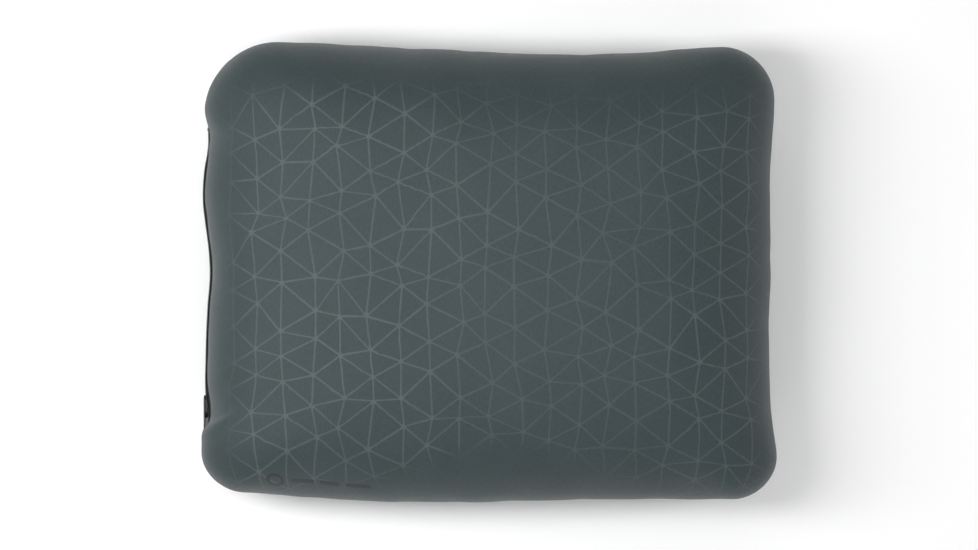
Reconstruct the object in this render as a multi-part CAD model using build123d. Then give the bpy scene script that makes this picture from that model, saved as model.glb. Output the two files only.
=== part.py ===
from build123d import *
import math
import os

# A self-inflating camp pillow lying flat: a knit cover in two shells that a zip on the left end
# opens, and inside it a cored foam slab in an airtight bladder with a two-lid air valve.
# Millimetres, +Z up, +X along the pillow's length, origin on the floor under its middle.

# ---- the pillow's overall form ----
LENGTH = 420.0
DEPTH = 336.0
HEIGHT = 118.0
WIDEST_Z = 54.0          # height of the pillow's widest line
FLANK = 75.0             # how far the underside curls in before it lies flat
PLAN_CORNER = 42.0       # plan radius of the corners at the widest line
CROWN_POWER_X = 5.0      # squareness of the crown across the length
CROWN_POWER_Y = 4.0      # squareness of the crown across the depth
CROWN_POWER_Z = 2.2      # squareness of the crown in height
CROWN_ANGLES = (12, 24, 36, 48, 60, 70, 77, 82)
FLANK_ANGLES = (80, 68, 54, 40, 27, 13, 0)
FLANK_REACH = math.sin(math.radians(FLANK_ANGLES[0]))
CROWN_REACH = math.sin(math.radians(CROWN_ANGLES[-1])) ** (2 / CROWN_POWER_Z)

# ---- cover ----
COVER_THICK = 1.2
SEAM_Z = 46.6            # the two cover shells meet here, at the zip's upper edge
LABEL_WIDTH = 25.0
LABEL_THICK = 0.4
LABEL_TOP = (206.2, 46.0)    # where the label is sewn in, along the pillow and up
LABEL_FOOT = (199.2, 30.0)   # where its loose end hangs
LABEL_Y = -40.0

# ---- bladder and foam ----
BLADDER_SIDE = 8.5       # bladder wall to the cover's outside, at the widest line
BLADDER_GAP = 0.4        # between the cover and the bladder, over and under
BLADDER_THICK = 0.8
WELD_REACH = 5.0         # width of the flat welded rim
FOAM_GAP = 0.3
CORE_CELL_LENGTH = 40.0
CORE_CELL_WIDTH = 20.0
CORE_PITCH_X = 62.0
CORE_PITCH_Y = 32.0
CORE_COLUMNS = 5
CORE_ROWS = 7

# ---- zip ----
ZIP_MIDDLE = (-204.6, -5.5, 40.0)
ZIP_TILT = 20.5          # degrees that the tape leans over from upright
ZIP_WINDOW = 231.0       # visible length
WINDOW_HALF = 6.6        # half the visible height
TAPE_LENGTH = 234.0
TAPE_THICK = 0.5
TAPE_FLAT = 7.0          # half-width over which the tape is flat
TAPE_SIDE = 6.0          # the sewn-in edge beyond it
TAPE_BEND = 13.5         # degrees that the sewn-in edge turns
TAPE_GAP = 0.15          # from the middle line to each tape
COIL_WIDTH = 1.9
COIL_THICK = 1.6
SLIDER_LENGTH = 10.5
SLIDER_WIDTH = 8.4
SLIDER_NOSE = 6.0
PLATE_THICK = 0.9
PLATE_GAP = 0.25         # running gap between the slider and what it runs on
RAIL_WIDTH = 1.0
SLIDER_TAPER = 2.5       # length over which the plates narrow at the wide end
SLIDER_SHOULDER = 1.2    # how much they narrow there, on each side
POST_LENGTH = 3.2
POST_WIDTH = 2.4
POST_INSET = 0.1         # post's front from the slider's wide end
BRIDGE_SPAN = 7.4
BRIDGE_WIDTH = 1.6
BRIDGE_THICK = 0.7
BRIDGE_ROOM = 1.7
BRIDGE_FOOT = 1.0
SLIDER_REST = 106.5      # slider's middle from the zip's middle, zip closed
STOP_LENGTH = 2.2
STOP_GAP = 0.4
STOP_ROUND = 0.35
TOP_STOP_WIDTH = 2.0
TOP_STOP_SHIFT = 2.8     # each top stop from the middle line
BOTTOM_STOP_WIDTH = 4.2
PULL_LENGTH = 22.0
PULL_WIDTH = 6.4
PULL_THICK = 1.0
PULL_PIN_RADIUS = 0.55
PULL_ARM = 1.1
PULL_EYE = 5.0           # length of the eye that goes round the bridge
PULL_SLOT = (8.5, 19.4)  # start and end of the cord slot, from the pin
PULL_SLOT_WIDTH = 2.4
PULL_SLOT_ROUND = 1.0

# ---- valve ----
VALVE_X = -118.0
VALVE_FACING = 40.0      # degrees below level that the valve faces
SEAT_DEPTH = 4.2         # how far the valve's flat seat is pressed into the bladder
PORT_RADIUS = 19.0
BINDING_WIDTH = 3.2
BINDING_THICK = 0.9
SEAT_HALF = 22.5         # half-size of the flat seat
FLANGE_RADIUS = 18.0
FLANGE_THICK = 1.0
NECK_RADIUS = 13.0
NECK_BORE = 11.2
NECK_TOP = 7.5
PLUG_RADIUS = 10.9
PLUG_BORE = 8.8
PLUG_DEPTH = 2.0
GASKET_THICK = 0.6
LID_GAP = 0.1            # between a closed lid and what it closes on
LID_RADIUS = 13.6
LID_PLATE = 1.4
MOUTH_RADIUS = 10.5
MOUTH_HEIGHT = 2.4
SEAT_RING_BORE = 7.4
SPIDER_THICK = 1.2
HUB_RADIUS = 2.6
SPOKE_WIDTH = 1.6
SPOKES = 3
SPOKE_START = 30.0       # degrees of the first spoke from the flank's level line
SPIDER_DROP = 1.0        # spider's underside below the neck's top
STEM_RADIUS = 1.4
STEM_BORE = 1.45
BUTTON_RADIUS = 2.9
BUTTON_THICK = 1.0
BUTTON_ROUND = 0.4
SPRING_LENGTH = 2.6
SPRING_RADIUS = 2.1
SPRING_WIRE = 0.4
SPRING_TURNS = 4
SPRING_PLAY = 0.05
DIAPHRAGM_RADIUS = 8.4
DIAPHRAGM_THICK = 0.6
BEAD_RADIUS = 2.2
BEAD_THICK = 0.8
CAP_RADIUS = 12.4
CAP_WALL = 1.6
CAP_TOP = 1.2
CAP_CLEAR = 0.3
CAP_ROUND = 1.0
GRIP_REACH = 2.2         # how far the thumb grip stands out from the cap
GRIP_HALF = 3.5
GRIP_ROUND = 1.5
STRAP_WIDTH = 8.0
STRAP_THICK = 0.8
LEASH_RADIUS = 15.0
LEASH_HEIGHT = 1.6
LEASH_BEND_GAP = 2.0     # the inner lid's bend line from the lid's rim
CAP_BEND_GAP = 1.2       # the outer lid's bend line from the inner lid's rim
LEASH_Z = 4.3            # height of the leash ring above the valve's seat
FOAM_POCKET_RADIUS = 20.0
FOAM_POCKET_DEPTH = 9.0


def section(half_length, half_depth, corner, z):
    return Plane.XY.offset(z) * RectangleRounded(2 * half_length, 2 * half_depth, corner)


def flank_form(side, under):
    # the two half-axes of the elliptic curve that takes the side round to the underside
    return FLANK - side + under, (WIDEST_Z - under) / FLANK_REACH


def pillow(side=0.0, over=0.0, under=0.0):
    # the closed form of the pillow, pulled in by side, over and under
    half_length = LENGTH / 2 - side
    half_depth = DEPTH / 2 - side
    corner = PLAN_CORNER - side / 2
    flank, drop = flank_form(side, under)
    rise = (HEIGHT - over - WIDEST_Z) / CROWN_REACH
    sections = []
    for angle in FLANK_ANGLES:
        turn = math.radians(angle)
        inset = flank * (1 - math.cos(turn))
        z = WIDEST_Z - drop * math.sin(turn)
        sections.append(section(half_length - inset, half_depth - inset, corner - inset / 4, z))
    for angle in CROWN_ANGLES:
        turn = math.radians(angle)
        across = half_length * math.cos(turn) ** (2 / CROWN_POWER_X)
        along = half_depth * math.cos(turn) ** (2 / CROWN_POWER_Y)
        z = WIDEST_Z + rise * math.sin(turn) ** (2 / CROWN_POWER_Z)
        sections.append(section(across, along, corner + angle / 8, z))
    return loft(sections)


def above(z):
    return Pos(0, 0, z + HEIGHT) * Box(2 * LENGTH, 2 * DEPTH, 2 * HEIGHT)


def below(z):
    return Pos(0, 0, z - HEIGHT) * Box(2 * LENGTH, 2 * DEPTH, 2 * HEIGHT)


# ---- local frames ----
def zip_frame():
    # x runs towards the closed end (-Y), y up the tape, z out of the pillow
    tilt = math.radians(ZIP_TILT)
    return Plane(origin=ZIP_MIDDLE, x_dir=(0, -1, 0), z_dir=(-math.cos(tilt), 0, -math.sin(tilt)))


def valve_frame():
    # on the rear flank, z out of the pillow, y up the flank, origin on the bladder's flat seat
    facing = math.radians(VALVE_FACING)
    out_y = math.cos(facing)
    out_z = -math.sin(facing)
    flank, drop = flank_form(BLADDER_SIDE, COVER_THICK + BLADDER_GAP)
    reach = math.hypot(flank * out_y, drop * out_z)
    skin_y = DEPTH / 2 - BLADDER_SIDE - flank + flank ** 2 * out_y / reach
    skin_z = WIDEST_Z + drop ** 2 * out_z / reach
    seat = (VALVE_X, skin_y - SEAT_DEPTH * out_y, skin_z - SEAT_DEPTH * out_z)
    return Plane(origin=seat, x_dir=(-1, 0, 0), z_dir=(0, out_y, out_z))


def disc(radius, low, high):
    return Pos(0, 0, (low + high) / 2) * Cylinder(radius, high - low)


def ring(outer, inner, low, high):
    return disc(outer, low, high) - disc(inner, low - 1, high + 1)


def block(x, y, z):
    # a box from (low, high) pairs
    middle = Pos((x[0] + x[1]) / 2, (y[0] + y[1]) / 2, (z[0] + z[1]) / 2)
    return middle * Box(x[1] - x[0], y[1] - y[0], z[1] - z[0])


# ---- cover ----
def zip_window():
    half = ZIP_WINDOW / 2
    return zip_frame() * block((-half, half), (-WINDOW_HALF, 3 * WINDOW_HALF), (-8, 12))


def cover_top():
    wall = pillow() - pillow(COVER_THICK, COVER_THICK, COVER_THICK)
    return wall & above(SEAM_Z)


def cover_bottom():
    wall = pillow() - pillow(COVER_THICK, COVER_THICK, COVER_THICK)
    port = valve_frame() * disc(PORT_RADIUS, 0, 30)
    return (wall & below(SEAM_Z)) - zip_window() - port


def valve_port_binding():
    tube = valve_frame() * ring(PORT_RADIUS + BINDING_WIDTH, PORT_RADIUS + 0.1, 2, 30)
    raised = pillow(-BINDING_THICK, -BINDING_THICK, -BINDING_THICK) & tube
    return raised - pillow(-0.05, -0.05, -0.05)


def care_label():
    # hangs inside the cover from the seam on the right end
    top_x, top_z = LABEL_TOP
    foot_x, foot_z = LABEL_FOOT
    outline = Polyline(
        (top_x, top_z),
        (top_x + LABEL_THICK, top_z),
        (foot_x + LABEL_THICK, foot_z),
        (foot_x, foot_z),
        close=True,
    )
    sheet = extrude(Plane.XZ * make_face(outline), amount=LABEL_WIDTH / 2, both=True)
    return Pos(0, LABEL_Y, 0) * sheet


# ---- bladder and foam ----
def bladder_solid(shrink):
    over = COVER_THICK + BLADDER_GAP + shrink
    return pillow(BLADDER_SIDE + shrink, over, over)


def bladder_wall():
    frame = valve_frame()
    half = SEAT_HALF
    skin = BLADDER_THICK
    outer_cut = frame * block((-half, half), (-2 * half, 2 * half), (0, 30))
    inner_cut = frame * block((-half - skin, half + skin), (-2 * half, 2 * half), (-skin, 30))
    return (bladder_solid(0) - outer_cut) - (bladder_solid(skin) - inner_cut)


def weld_rim(low, high):
    reach = BLADDER_SIDE - WELD_REACH
    corner = PLAN_CORNER - reach / 2
    rim = section(LENGTH / 2 - reach, DEPTH / 2 - reach, corner, low)
    return extrude(rim, amount=high - low) - bladder_solid(BLADDER_THICK / 2)


def bladder_top():
    skin = bladder_wall() & above(WIDEST_Z)
    return skin + weld_rim(WIDEST_Z, WIDEST_Z + BLADDER_THICK)


def bladder_bottom():
    skin = bladder_wall() & below(WIDEST_Z)
    rim = weld_rim(WIDEST_Z - BLADDER_THICK, WIDEST_Z)
    valve_hole = valve_frame() * disc(NECK_RADIUS + 0.2, -5, 5)
    return skin + rim - valve_hole


def core_cell():
    half_length = CORE_CELL_LENGTH / 2
    half_width = CORE_CELL_WIDTH / 2
    diamond = Polyline((half_length, 0), (0, half_width), (-half_length, 0), (0, -half_width), close=True)
    return extrude(make_face(diamond), amount=2 * HEIGHT)


def foam_core():
    slab = bladder_solid(BLADDER_THICK + FOAM_GAP)
    cell = core_cell()
    for row in range(CORE_ROWS):
        stagger = CORE_PITCH_X / 2 if row % 2 else 0
        for column in range(CORE_COLUMNS - row % 2):
            x = (column - (CORE_COLUMNS - 1) / 2) * CORE_PITCH_X + stagger
            y = (row - (CORE_ROWS - 1) / 2) * CORE_PITCH_Y
            slab -= Pos(x, y, -HEIGHT / 2) * cell
    half = SEAT_HALF + BLADDER_THICK + FOAM_GAP
    seat = block((-half, half), (-2 * half, 2 * half), (-BLADDER_THICK - FOAM_GAP, 30))
    well = disc(FOAM_POCKET_RADIUS, -FOAM_POCKET_DEPTH, 30)
    return slab - valve_frame() * (seat + well)


# ---- zip ----
def bent_strip(points, thickness):
    # the outline of a strip of even thickness along three points
    left = []
    right = []
    for index, (x, y) in enumerate(points):
        before = points[max(index - 1, 0)]
        after = points[min(index + 1, len(points) - 1)]
        run = math.hypot(after[0] - before[0], after[1] - before[1])
        side_x = -(after[1] - before[1]) / run * thickness / 2
        side_y = (after[0] - before[0]) / run * thickness / 2
        left.append((x + side_x, y + side_y))
        right.append((x - side_x, y - side_y))
    return make_face(Polyline(*left, *reversed(right), close=True))


def zip_tape(side):
    # the cross-section in (up the tape, out of the pillow), run along the zip
    bend = math.radians(TAPE_BEND)
    edge_up = TAPE_FLAT + TAPE_SIDE * math.cos(bend)
    edge_out = -TAPE_SIDE * math.sin(bend)
    strip = bent_strip([(side * TAPE_GAP, 0), (side * TAPE_FLAT, 0), (side * edge_up, edge_out)], TAPE_THICK)
    tape = extrude(Plane.YZ * strip, amount=TAPE_LENGTH / 2, both=True)
    post = Pos(SLIDER_REST, 0, 0) * slider_post_room()
    return zip_frame() * (tape - post)


def slider_post_room():
    start = SLIDER_LENGTH / 2 - POST_LENGTH - 0.3
    end = TAPE_LENGTH
    half = POST_WIDTH / 2 + PLATE_GAP
    return block((start, end), (-half, half), (-3, 3))


def zip_coil(side):
    start = -ZIP_WINDOW / 2 + 3 * STOP_LENGTH
    end = SLIDER_REST + SLIDER_LENGTH / 2 - POST_LENGTH - 0.6
    inner = side * 0.1
    outer = side * (0.1 + COIL_WIDTH)
    low = TAPE_THICK / 2
    bar = block((start, end), sorted((inner, outer)), (low, low + COIL_THICK))
    return zip_frame() * bar


def slider_body():
    tape_face = TAPE_THICK / 2
    coil_top = tape_face + COIL_THICK
    half_length = SLIDER_LENGTH / 2
    half_width = SLIDER_WIDTH / 2
    lower = -tape_face - PLATE_GAP
    upper = coil_top + PLATE_GAP
    nose = SLIDER_NOSE / 2
    outline = Polyline(
        (-half_length, -nose),
        (-half_length, nose),
        (half_length - SLIDER_TAPER, half_width),
        (half_length, half_width - SLIDER_SHOULDER),
        (half_length, -half_width + SLIDER_SHOULDER),
        (half_length - SLIDER_TAPER, -half_width),
        close=True,
    )
    plate = make_face(outline)
    inner_plate = extrude(Plane.XY.offset(lower - PLATE_THICK) * plate, amount=PLATE_THICK)
    outer_plate = extrude(Plane.XY.offset(upper) * plate, amount=PLATE_THICK)
    rail_bottom = tape_face + PLATE_GAP
    rails = extrude(Plane.XY.offset(rail_bottom) * plate, amount=upper - rail_bottom)
    nose_room = nose - RAIL_WIDTH
    wide_room = half_width - RAIL_WIDTH
    channel = Polyline(
        (-half_length - 1, -nose_room),
        (-half_length - 1, nose_room),
        (half_length - SLIDER_TAPER, wide_room),
        (half_length + 1, wide_room),
        (half_length + 1, -wide_room),
        (half_length - SLIDER_TAPER, -wide_room),
        close=True,
    )
    rails -= extrude(Plane.XY.offset(rail_bottom) * make_face(channel), amount=upper - rail_bottom)
    front = half_length - POST_INSET
    back = front - POST_LENGTH
    middle = (front + back) / 2
    half_post = POST_WIDTH / 2
    diamond = Polyline((front, 0), (middle, half_post), (back, 0), (middle, -half_post), close=True)
    post = extrude(Plane.XY.offset(lower) * make_face(diamond), amount=upper - lower)
    top = upper + PLATE_THICK
    bridge = block(
        (-BRIDGE_SPAN / 2, BRIDGE_SPAN / 2),
        (-BRIDGE_WIDTH / 2, BRIDGE_WIDTH / 2),
        (top, top + BRIDGE_ROOM + BRIDGE_THICK),
    )
    bridge -= block(
        (-BRIDGE_SPAN / 2 + BRIDGE_FOOT, BRIDGE_SPAN / 2 - BRIDGE_FOOT),
        (-BRIDGE_WIDTH, BRIDGE_WIDTH),
        (top, top + BRIDGE_ROOM),
    )
    return inner_plate + outer_plate + rails + post + bridge


def pull_pin_height():
    # the pull's pin lies midway under the bridge
    return TAPE_THICK / 2 + COIL_THICK + PLATE_GAP + PLATE_THICK + BRIDGE_ROOM / 2


def zip_slider():
    return zip_frame() * (Pos(SLIDER_REST, 0, 0) * slider_body())


def zip_pull_tab():
    half = PULL_WIDTH / 2
    eye = half - PULL_ARM
    low = -PULL_THICK / 2
    plate = block((-PULL_LENGTH, PULL_PIN_RADIUS), (-half, half), (low, -low))
    plate = fillet(plate.edges().filter_by(Axis.Z).group_by(Axis.X)[0], half - 0.4)
    plate -= block((-PULL_EYE, 2.0), (-eye, eye), (-2, 2))
    slot_start, slot_end = PULL_SLOT
    slot = block((-slot_end, -slot_start), (-PULL_SLOT_WIDTH / 2, PULL_SLOT_WIDTH / 2), (-2, 2))
    plate -= fillet(slot.edges().filter_by(Axis.Z), PULL_SLOT_ROUND)
    pin = Rot(90, 0, 0) * Cylinder(PULL_PIN_RADIUS, PULL_WIDTH)
    tab = plate + pin
    return zip_frame() * (Pos(SLIDER_REST, 0, pull_pin_height()) * tab)


def zip_stop(x, width, shift):
    # a crimp over the tape's edge, standing on its outer face
    low = TAPE_THICK / 2
    crimp = block((x, x + STOP_LENGTH), (shift - width / 2, shift + width / 2), (low, low + COIL_THICK))
    return fillet(crimp.edges().group_by(Axis.Z)[-1], STOP_ROUND)


def zip_top_stops():
    start = SLIDER_REST + SLIDER_LENGTH / 2 + STOP_GAP
    upper = zip_stop(start, TOP_STOP_WIDTH, TOP_STOP_SHIFT)
    lower = zip_stop(start, TOP_STOP_WIDTH, -TOP_STOP_SHIFT)
    return zip_frame() * Compound(children=[upper, lower])


def zip_bottom_stop():
    return zip_frame() * zip_stop(-ZIP_WINDOW / 2 + 2 * STOP_LENGTH - STOP_GAP, BOTTOM_STOP_WIDTH, 0)


# ---- valve ----
def valve_base():
    seat_inside = -BLADDER_THICK
    flange = disc(FLANGE_RADIUS, seat_inside - FLANGE_THICK, seat_inside)
    neck = disc(NECK_RADIUS, seat_inside - FLANGE_THICK, NECK_TOP)
    bore = disc(NECK_BORE, -5, NECK_TOP + 1)
    return valve_frame() * (flange + neck - bore)


def leash_bend():
    # the line that the inner lid turns about, as (up the flank, out of the pillow)
    return (LID_RADIUS + LEASH_BEND_GAP, NECK_TOP + 0.8)


def lid_leash():
    bend_up, bend_out = leash_bend()
    hoop = ring(LEASH_RADIUS, NECK_RADIUS + 0.1, LEASH_Z, LEASH_Z + LEASH_HEIGHT)
    half = STRAP_WIDTH / 2
    foot = block((-half, half), (LEASH_RADIUS - 1, bend_up + STRAP_THICK / 2), (LEASH_Z, LEASH_Z + STRAP_THICK))
    riser = block((-half, half), (bend_up - STRAP_THICK / 2, bend_up + STRAP_THICK / 2), (LEASH_Z, bend_out))
    return valve_frame() * (hoop + foot + riser)


def lid_plate_bottom():
    return NECK_TOP + LID_GAP + GASKET_THICK


def lid_plate_top():
    return lid_plate_bottom() + LID_PLATE


def mouth_top():
    return lid_plate_top() + MOUTH_HEIGHT


def spider_bottom():
    return NECK_TOP - SPIDER_DROP


def valve_inner_lid():
    bottom = lid_plate_bottom()
    top = lid_plate_top()
    plug = ring(PLUG_RADIUS, PLUG_BORE, NECK_TOP - PLUG_DEPTH, bottom)
    plate = ring(LID_RADIUS, PLUG_BORE, bottom, top)
    mouth = ring(MOUTH_RADIUS, PLUG_BORE, top, mouth_top())
    low = spider_bottom()
    high = low + SPIDER_THICK
    seat = ring(PLUG_BORE + 0.1, SEAT_RING_BORE, low, high)
    hub = disc(HUB_RADIUS, low, high)
    body = plug + plate + mouth + seat + hub
    for spoke in range(SPOKES):
        arm = block((0, SEAT_RING_BORE + 0.5), (-SPOKE_WIDTH / 2, SPOKE_WIDTH / 2), (low, high))
        body += Rot(0, 0, 360 / SPOKES * spoke + SPOKE_START) * arm
    bend_up, bend_out = leash_bend()
    half = STRAP_WIDTH / 2
    tongue = block((-half, half), (LID_RADIUS - 2, bend_up + STRAP_THICK / 2), (bend_out + 0.2, top))
    body += tongue - disc(LID_RADIUS - 1, 0, 20)
    return valve_frame() * (body - disc(STEM_BORE, -5, 20))


def inner_lid_gasket():
    low = NECK_TOP + LID_GAP
    return valve_frame() * ring(NECK_RADIUS, PLUG_RADIUS, low, low + GASKET_THICK)


def stem_head_bottom():
    return spider_bottom() + SPIDER_THICK + SPRING_LENGTH


def valve_stem():
    diaphragm_low = spider_bottom() - LID_GAP - DIAPHRAGM_THICK
    bead_low = diaphragm_low - BEAD_THICK
    shaft = disc(STEM_RADIUS, bead_low, stem_head_bottom())
    head = disc(BUTTON_RADIUS, stem_head_bottom(), stem_head_bottom() + BUTTON_THICK)
    head = fillet(head.edges().group_by(Axis.Z)[-1], BUTTON_ROUND)
    bead = disc(BEAD_RADIUS, bead_low, diaphragm_low)
    return valve_frame() * (shaft + head + bead)


def valve_diaphragm():
    high = spider_bottom() - LID_GAP
    return valve_frame() * ring(DIAPHRAGM_RADIUS, STEM_RADIUS, high - DIAPHRAGM_THICK, high)


def valve_spring():
    wire = SPRING_WIRE / 2
    low = spider_bottom() + SPIDER_THICK + wire + SPRING_PLAY
    height = SPRING_LENGTH - 2 * (wire + SPRING_PLAY)
    path = Helix(pitch=height / SPRING_TURNS, height=height, radius=SPRING_RADIUS)
    start = Plane(origin=path @ 0, z_dir=path % 0)
    coil = sweep(start * Circle(wire), path=path, is_frenet=True)
    return valve_frame() * (Pos(0, 0, low) * coil)


def cap_bottom():
    return lid_plate_top() + CAP_CLEAR


def cap_inside():
    return mouth_top() + CAP_CLEAR


def valve_outer_lid():
    outside = disc(CAP_RADIUS, cap_bottom(), cap_inside() + CAP_TOP)
    outside = fillet(outside.edges().group_by(Axis.Z)[-1], CAP_ROUND)
    cap = outside - disc(CAP_RADIUS - CAP_WALL, 0, cap_inside())
    grip_low = cap_inside()
    grip = block((-CAP_RADIUS - GRIP_REACH, -CAP_RADIUS + 1), (-GRIP_HALF, GRIP_HALF), (grip_low, grip_low + CAP_TOP))
    grip = fillet(grip.edges().filter_by(Axis.Z).group_by(Axis.X)[0], GRIP_ROUND)
    grip -= disc(CAP_RADIUS - 0.6, 0, 30)
    return valve_frame() * (cap + grip)


def cap_bend():
    # the line that the outer lid turns about, as (towards -X, out of the pillow)
    return (LID_RADIUS + CAP_BEND_GAP, cap_bottom() + 0.6)


def outer_lid_strap():
    # rises from the inner lid's rim and turns in to the cap
    side, out = cap_bend()
    half = STRAP_WIDTH / 2
    thick = STRAP_THICK / 2
    foot = block((LID_RADIUS - 0.4, side + thick), (-half, half), (lid_plate_top() - 1, lid_plate_top() - 0.3))
    riser = block((side - thick, side + thick), (-half, half), (lid_plate_top() - 1, out + thick))
    arm = block((CAP_RADIUS - 0.4, side + thick), (-half, half), (out - thick, out + thick))
    strap = foot + riser + arm
    strap -= disc(CAP_RADIUS + 0.1, cap_bottom() - 1, 30)
    strap -= disc(LID_RADIUS + 0.1, 0, lid_plate_top())
    return valve_frame() * strap


def write(name, shape):
    solids = shape.solids()
    body = solids[0] if len(solids) == 1 else Compound(children=list(solids))
    export_step(body, f"parts/{name}.step")
    volume = sum(solid.volume for solid in solids)
    print(f"{name}: {len(solids)} solids, {volume:.1f} mm3")


os.makedirs("parts", exist_ok=True)
write("cover_top", cover_top())
write("cover_bottom", cover_bottom())
write("valve_port_binding", valve_port_binding())
write("care_label", care_label())
write("bladder_top", bladder_top())
write("bladder_bottom", bladder_bottom())
write("foam_core", foam_core())
write("zip_tape_upper", zip_tape(1))
write("zip_tape_lower", zip_tape(-1))
write("zip_coil_upper", zip_coil(1))
write("zip_coil_lower", zip_coil(-1))
write("zip_slider", zip_slider())
write("zip_pull_tab", zip_pull_tab())
write("zip_top_stops", zip_top_stops())
write("zip_bottom_stop", zip_bottom_stop())
write("valve_base", valve_base())
write("lid_leash", lid_leash())
write("valve_inner_lid", valve_inner_lid())
write("inner_lid_gasket", inner_lid_gasket())
write("valve_stem", valve_stem())
write("valve_diaphragm", valve_diaphragm())
write("valve_spring", valve_spring())
write("valve_outer_lid", valve_outer_lid())
write("outer_lid_strap", outer_lid_strap())
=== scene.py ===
import math

import bmesh
import bpy
import numpy as np
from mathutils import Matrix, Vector
from mathutils.bvhtree import BVHTree


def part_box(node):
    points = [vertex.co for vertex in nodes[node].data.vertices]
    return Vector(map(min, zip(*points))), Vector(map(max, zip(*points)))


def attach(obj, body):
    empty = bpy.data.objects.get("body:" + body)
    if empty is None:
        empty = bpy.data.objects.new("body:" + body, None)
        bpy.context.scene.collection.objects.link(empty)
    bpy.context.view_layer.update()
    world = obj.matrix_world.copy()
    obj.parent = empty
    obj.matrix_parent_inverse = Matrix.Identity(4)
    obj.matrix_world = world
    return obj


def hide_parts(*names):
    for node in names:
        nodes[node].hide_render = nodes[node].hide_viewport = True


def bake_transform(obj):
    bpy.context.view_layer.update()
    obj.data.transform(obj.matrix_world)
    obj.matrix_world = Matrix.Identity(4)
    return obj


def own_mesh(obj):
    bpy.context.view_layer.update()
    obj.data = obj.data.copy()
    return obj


# A self-inflating camp pillow in a stretch-knit cover: soft goods, zip and valve looks
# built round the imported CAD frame. Positions are in metres, in the CAD's own frame;
# lengths written with MM are millimetres.

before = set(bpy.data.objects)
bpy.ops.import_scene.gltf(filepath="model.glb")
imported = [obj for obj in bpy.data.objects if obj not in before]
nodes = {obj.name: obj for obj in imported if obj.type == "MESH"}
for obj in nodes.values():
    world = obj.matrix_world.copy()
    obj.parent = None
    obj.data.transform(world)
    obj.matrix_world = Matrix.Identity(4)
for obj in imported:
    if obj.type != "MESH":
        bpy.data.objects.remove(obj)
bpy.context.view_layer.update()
MM = 0.001
ROOT = "pillow"

# ---- sizes taken from the frame ----
TOP_LO, TOP_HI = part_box("cover_top")
HALF_LENGTH = (TOP_HI.x - TOP_LO.x) / 2
HALF_DEPTH = (TOP_HI.y - TOP_LO.y) / 2
HEIGHT = TOP_HI.z
SEAM_Z = TOP_LO.z
WIDEST_Z = 54 * MM            # height of the widest line
FLANK = 75 * MM               # how far the underside curls in before it lies flat
FLANK_END = math.radians(80)  # the flank meets the flat underside at this turn
CLOTH_THICK = 0.9 * MM

# ---- the outline seen from above: corner radii, and how far each side draws in (mm) ----
CORNER_RADII = {"rear_left": 53, "rear_right": 40, "front_right": 33, "front_left": 30}
REAR_DRAW = [(-215, 0), (-150, -0.5), (-50, 4.4), (64, 8.6), (120, 6.6), (165, 3.0), (215, 3.0)]
FRONT_DRAW = [(-215, 8.5), (-181, 7.0), (-147, 4.6), (-94, 1.0), (-24, 0), (60, 1.7), (165, 2.0), (215, 2.0)]
RIGHT_DRAW = [(-170, 0), (-132, 0), (-114, 2.4), (-80, 4.6), (-44, 5.2), (-10, 4.4), (96, 3.3), (122, 1.5),
              (170, 1.5)]
LEFT_DRAW = [(-170, 0), (-134, -0.5), (-124, 0.2), (-118, 4.6), (-104, 6.0), (-88, 4.3), (-62, 4.4),
             (-27, 5.7), (0, 7.5), (17, 6.6), (35, 4.3), (52, 2.4), (61, 2.4), (78, 3.9), (90, 5.0),
             (102, 5.6), (111, 3.2), (118, 1.9), (126, 1.7), (170, 1.5)]

# ---- the zip: a straight track in CAD that the soft cover draws into a slight wave, flat only
# at the two ends of the slider's travel; in between, the slider's straight path cuts the wave ----
ZIP_MIDDLE = np.array([-204.6, -5.5, 40.0]) * MM
ZIP_TILT = math.radians(20.5)
ZIP_OUT = np.array([-math.cos(ZIP_TILT), 0, -math.sin(ZIP_TILT)])
ZIP_UP = np.array([-math.sin(ZIP_TILT), 0, math.cos(ZIP_TILT)])
ZIP_LOW_Y = -121 * MM
ZIP_HIGH_Y = 110 * MM
ZIP_HEM_UPPER = 42.9 * MM
ZIP_HEM_LOWER = 37.2 * MM
ZIP_FLARE = 0.5 * MM
ZIP_WAVE = [(-124, 0), (-104, 0), (-88, -1.9), (-62, -1.8), (-27, -0.5), (0, 1.3), (17, 0.4), (35, -1.9),
            (52, -3.8), (61, -3.8), (78, -2.3), (85, -1.0), (92, 0), (104, 0), (112, 0)]

# ---- the valve in the rear flank ----
VALVE_SEAT = np.array([-118.0, 145.134, 27.526]) * MM
VALVE_OUT = np.array([0, 0.76604, -0.64279])
VALVE_UP = np.array([0, 0.64279, 0.76604])
PORT_RADIUS = 19 * MM
NECK_HOLE = 13.3 * MM
SEAT_RADIUS = 20 * MM
LABEL_SHIFT = 7 * MM

# ---- how finely the cloth is divided ----
CELLS_X = 150
CELLS_Y = 120
HEM_ROWS = 5
HEM_ROW = 0.8 * MM
TABLE = 240                   # points along each profile from the middle to the hem
COARSE = 2                    # the settling cloth has every second line
CREASE_LIMIT = 6 * MM
CREASE_SHARE = 0.28


def smooth(x, low, high):
    t = np.clip((np.asarray(x, float) - low) / (high - low), 0, 1)
    return t * t * (3 - 2 * t)


def curve_through(points, x):
    """A smooth curve through a few given points."""
    px = np.array([p[0] for p in points], float)
    py = np.array([p[1] for p in points], float)
    slope = np.gradient(py, px)
    x = np.clip(x, px[0], px[-1])
    i = np.clip(np.searchsorted(px, x) - 1, 0, len(px) - 2)
    h = px[i + 1] - px[i]
    t = (x - px[i]) / h
    t2, t3 = t * t, t * t * t
    return ((2 * t3 - 3 * t2 + 1) * py[i] + (t3 - 2 * t2 + t) * h * slope[i]
            + (3 * t2 - 2 * t3) * py[i + 1] + (t3 - t2) * h * slope[i + 1])


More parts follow.
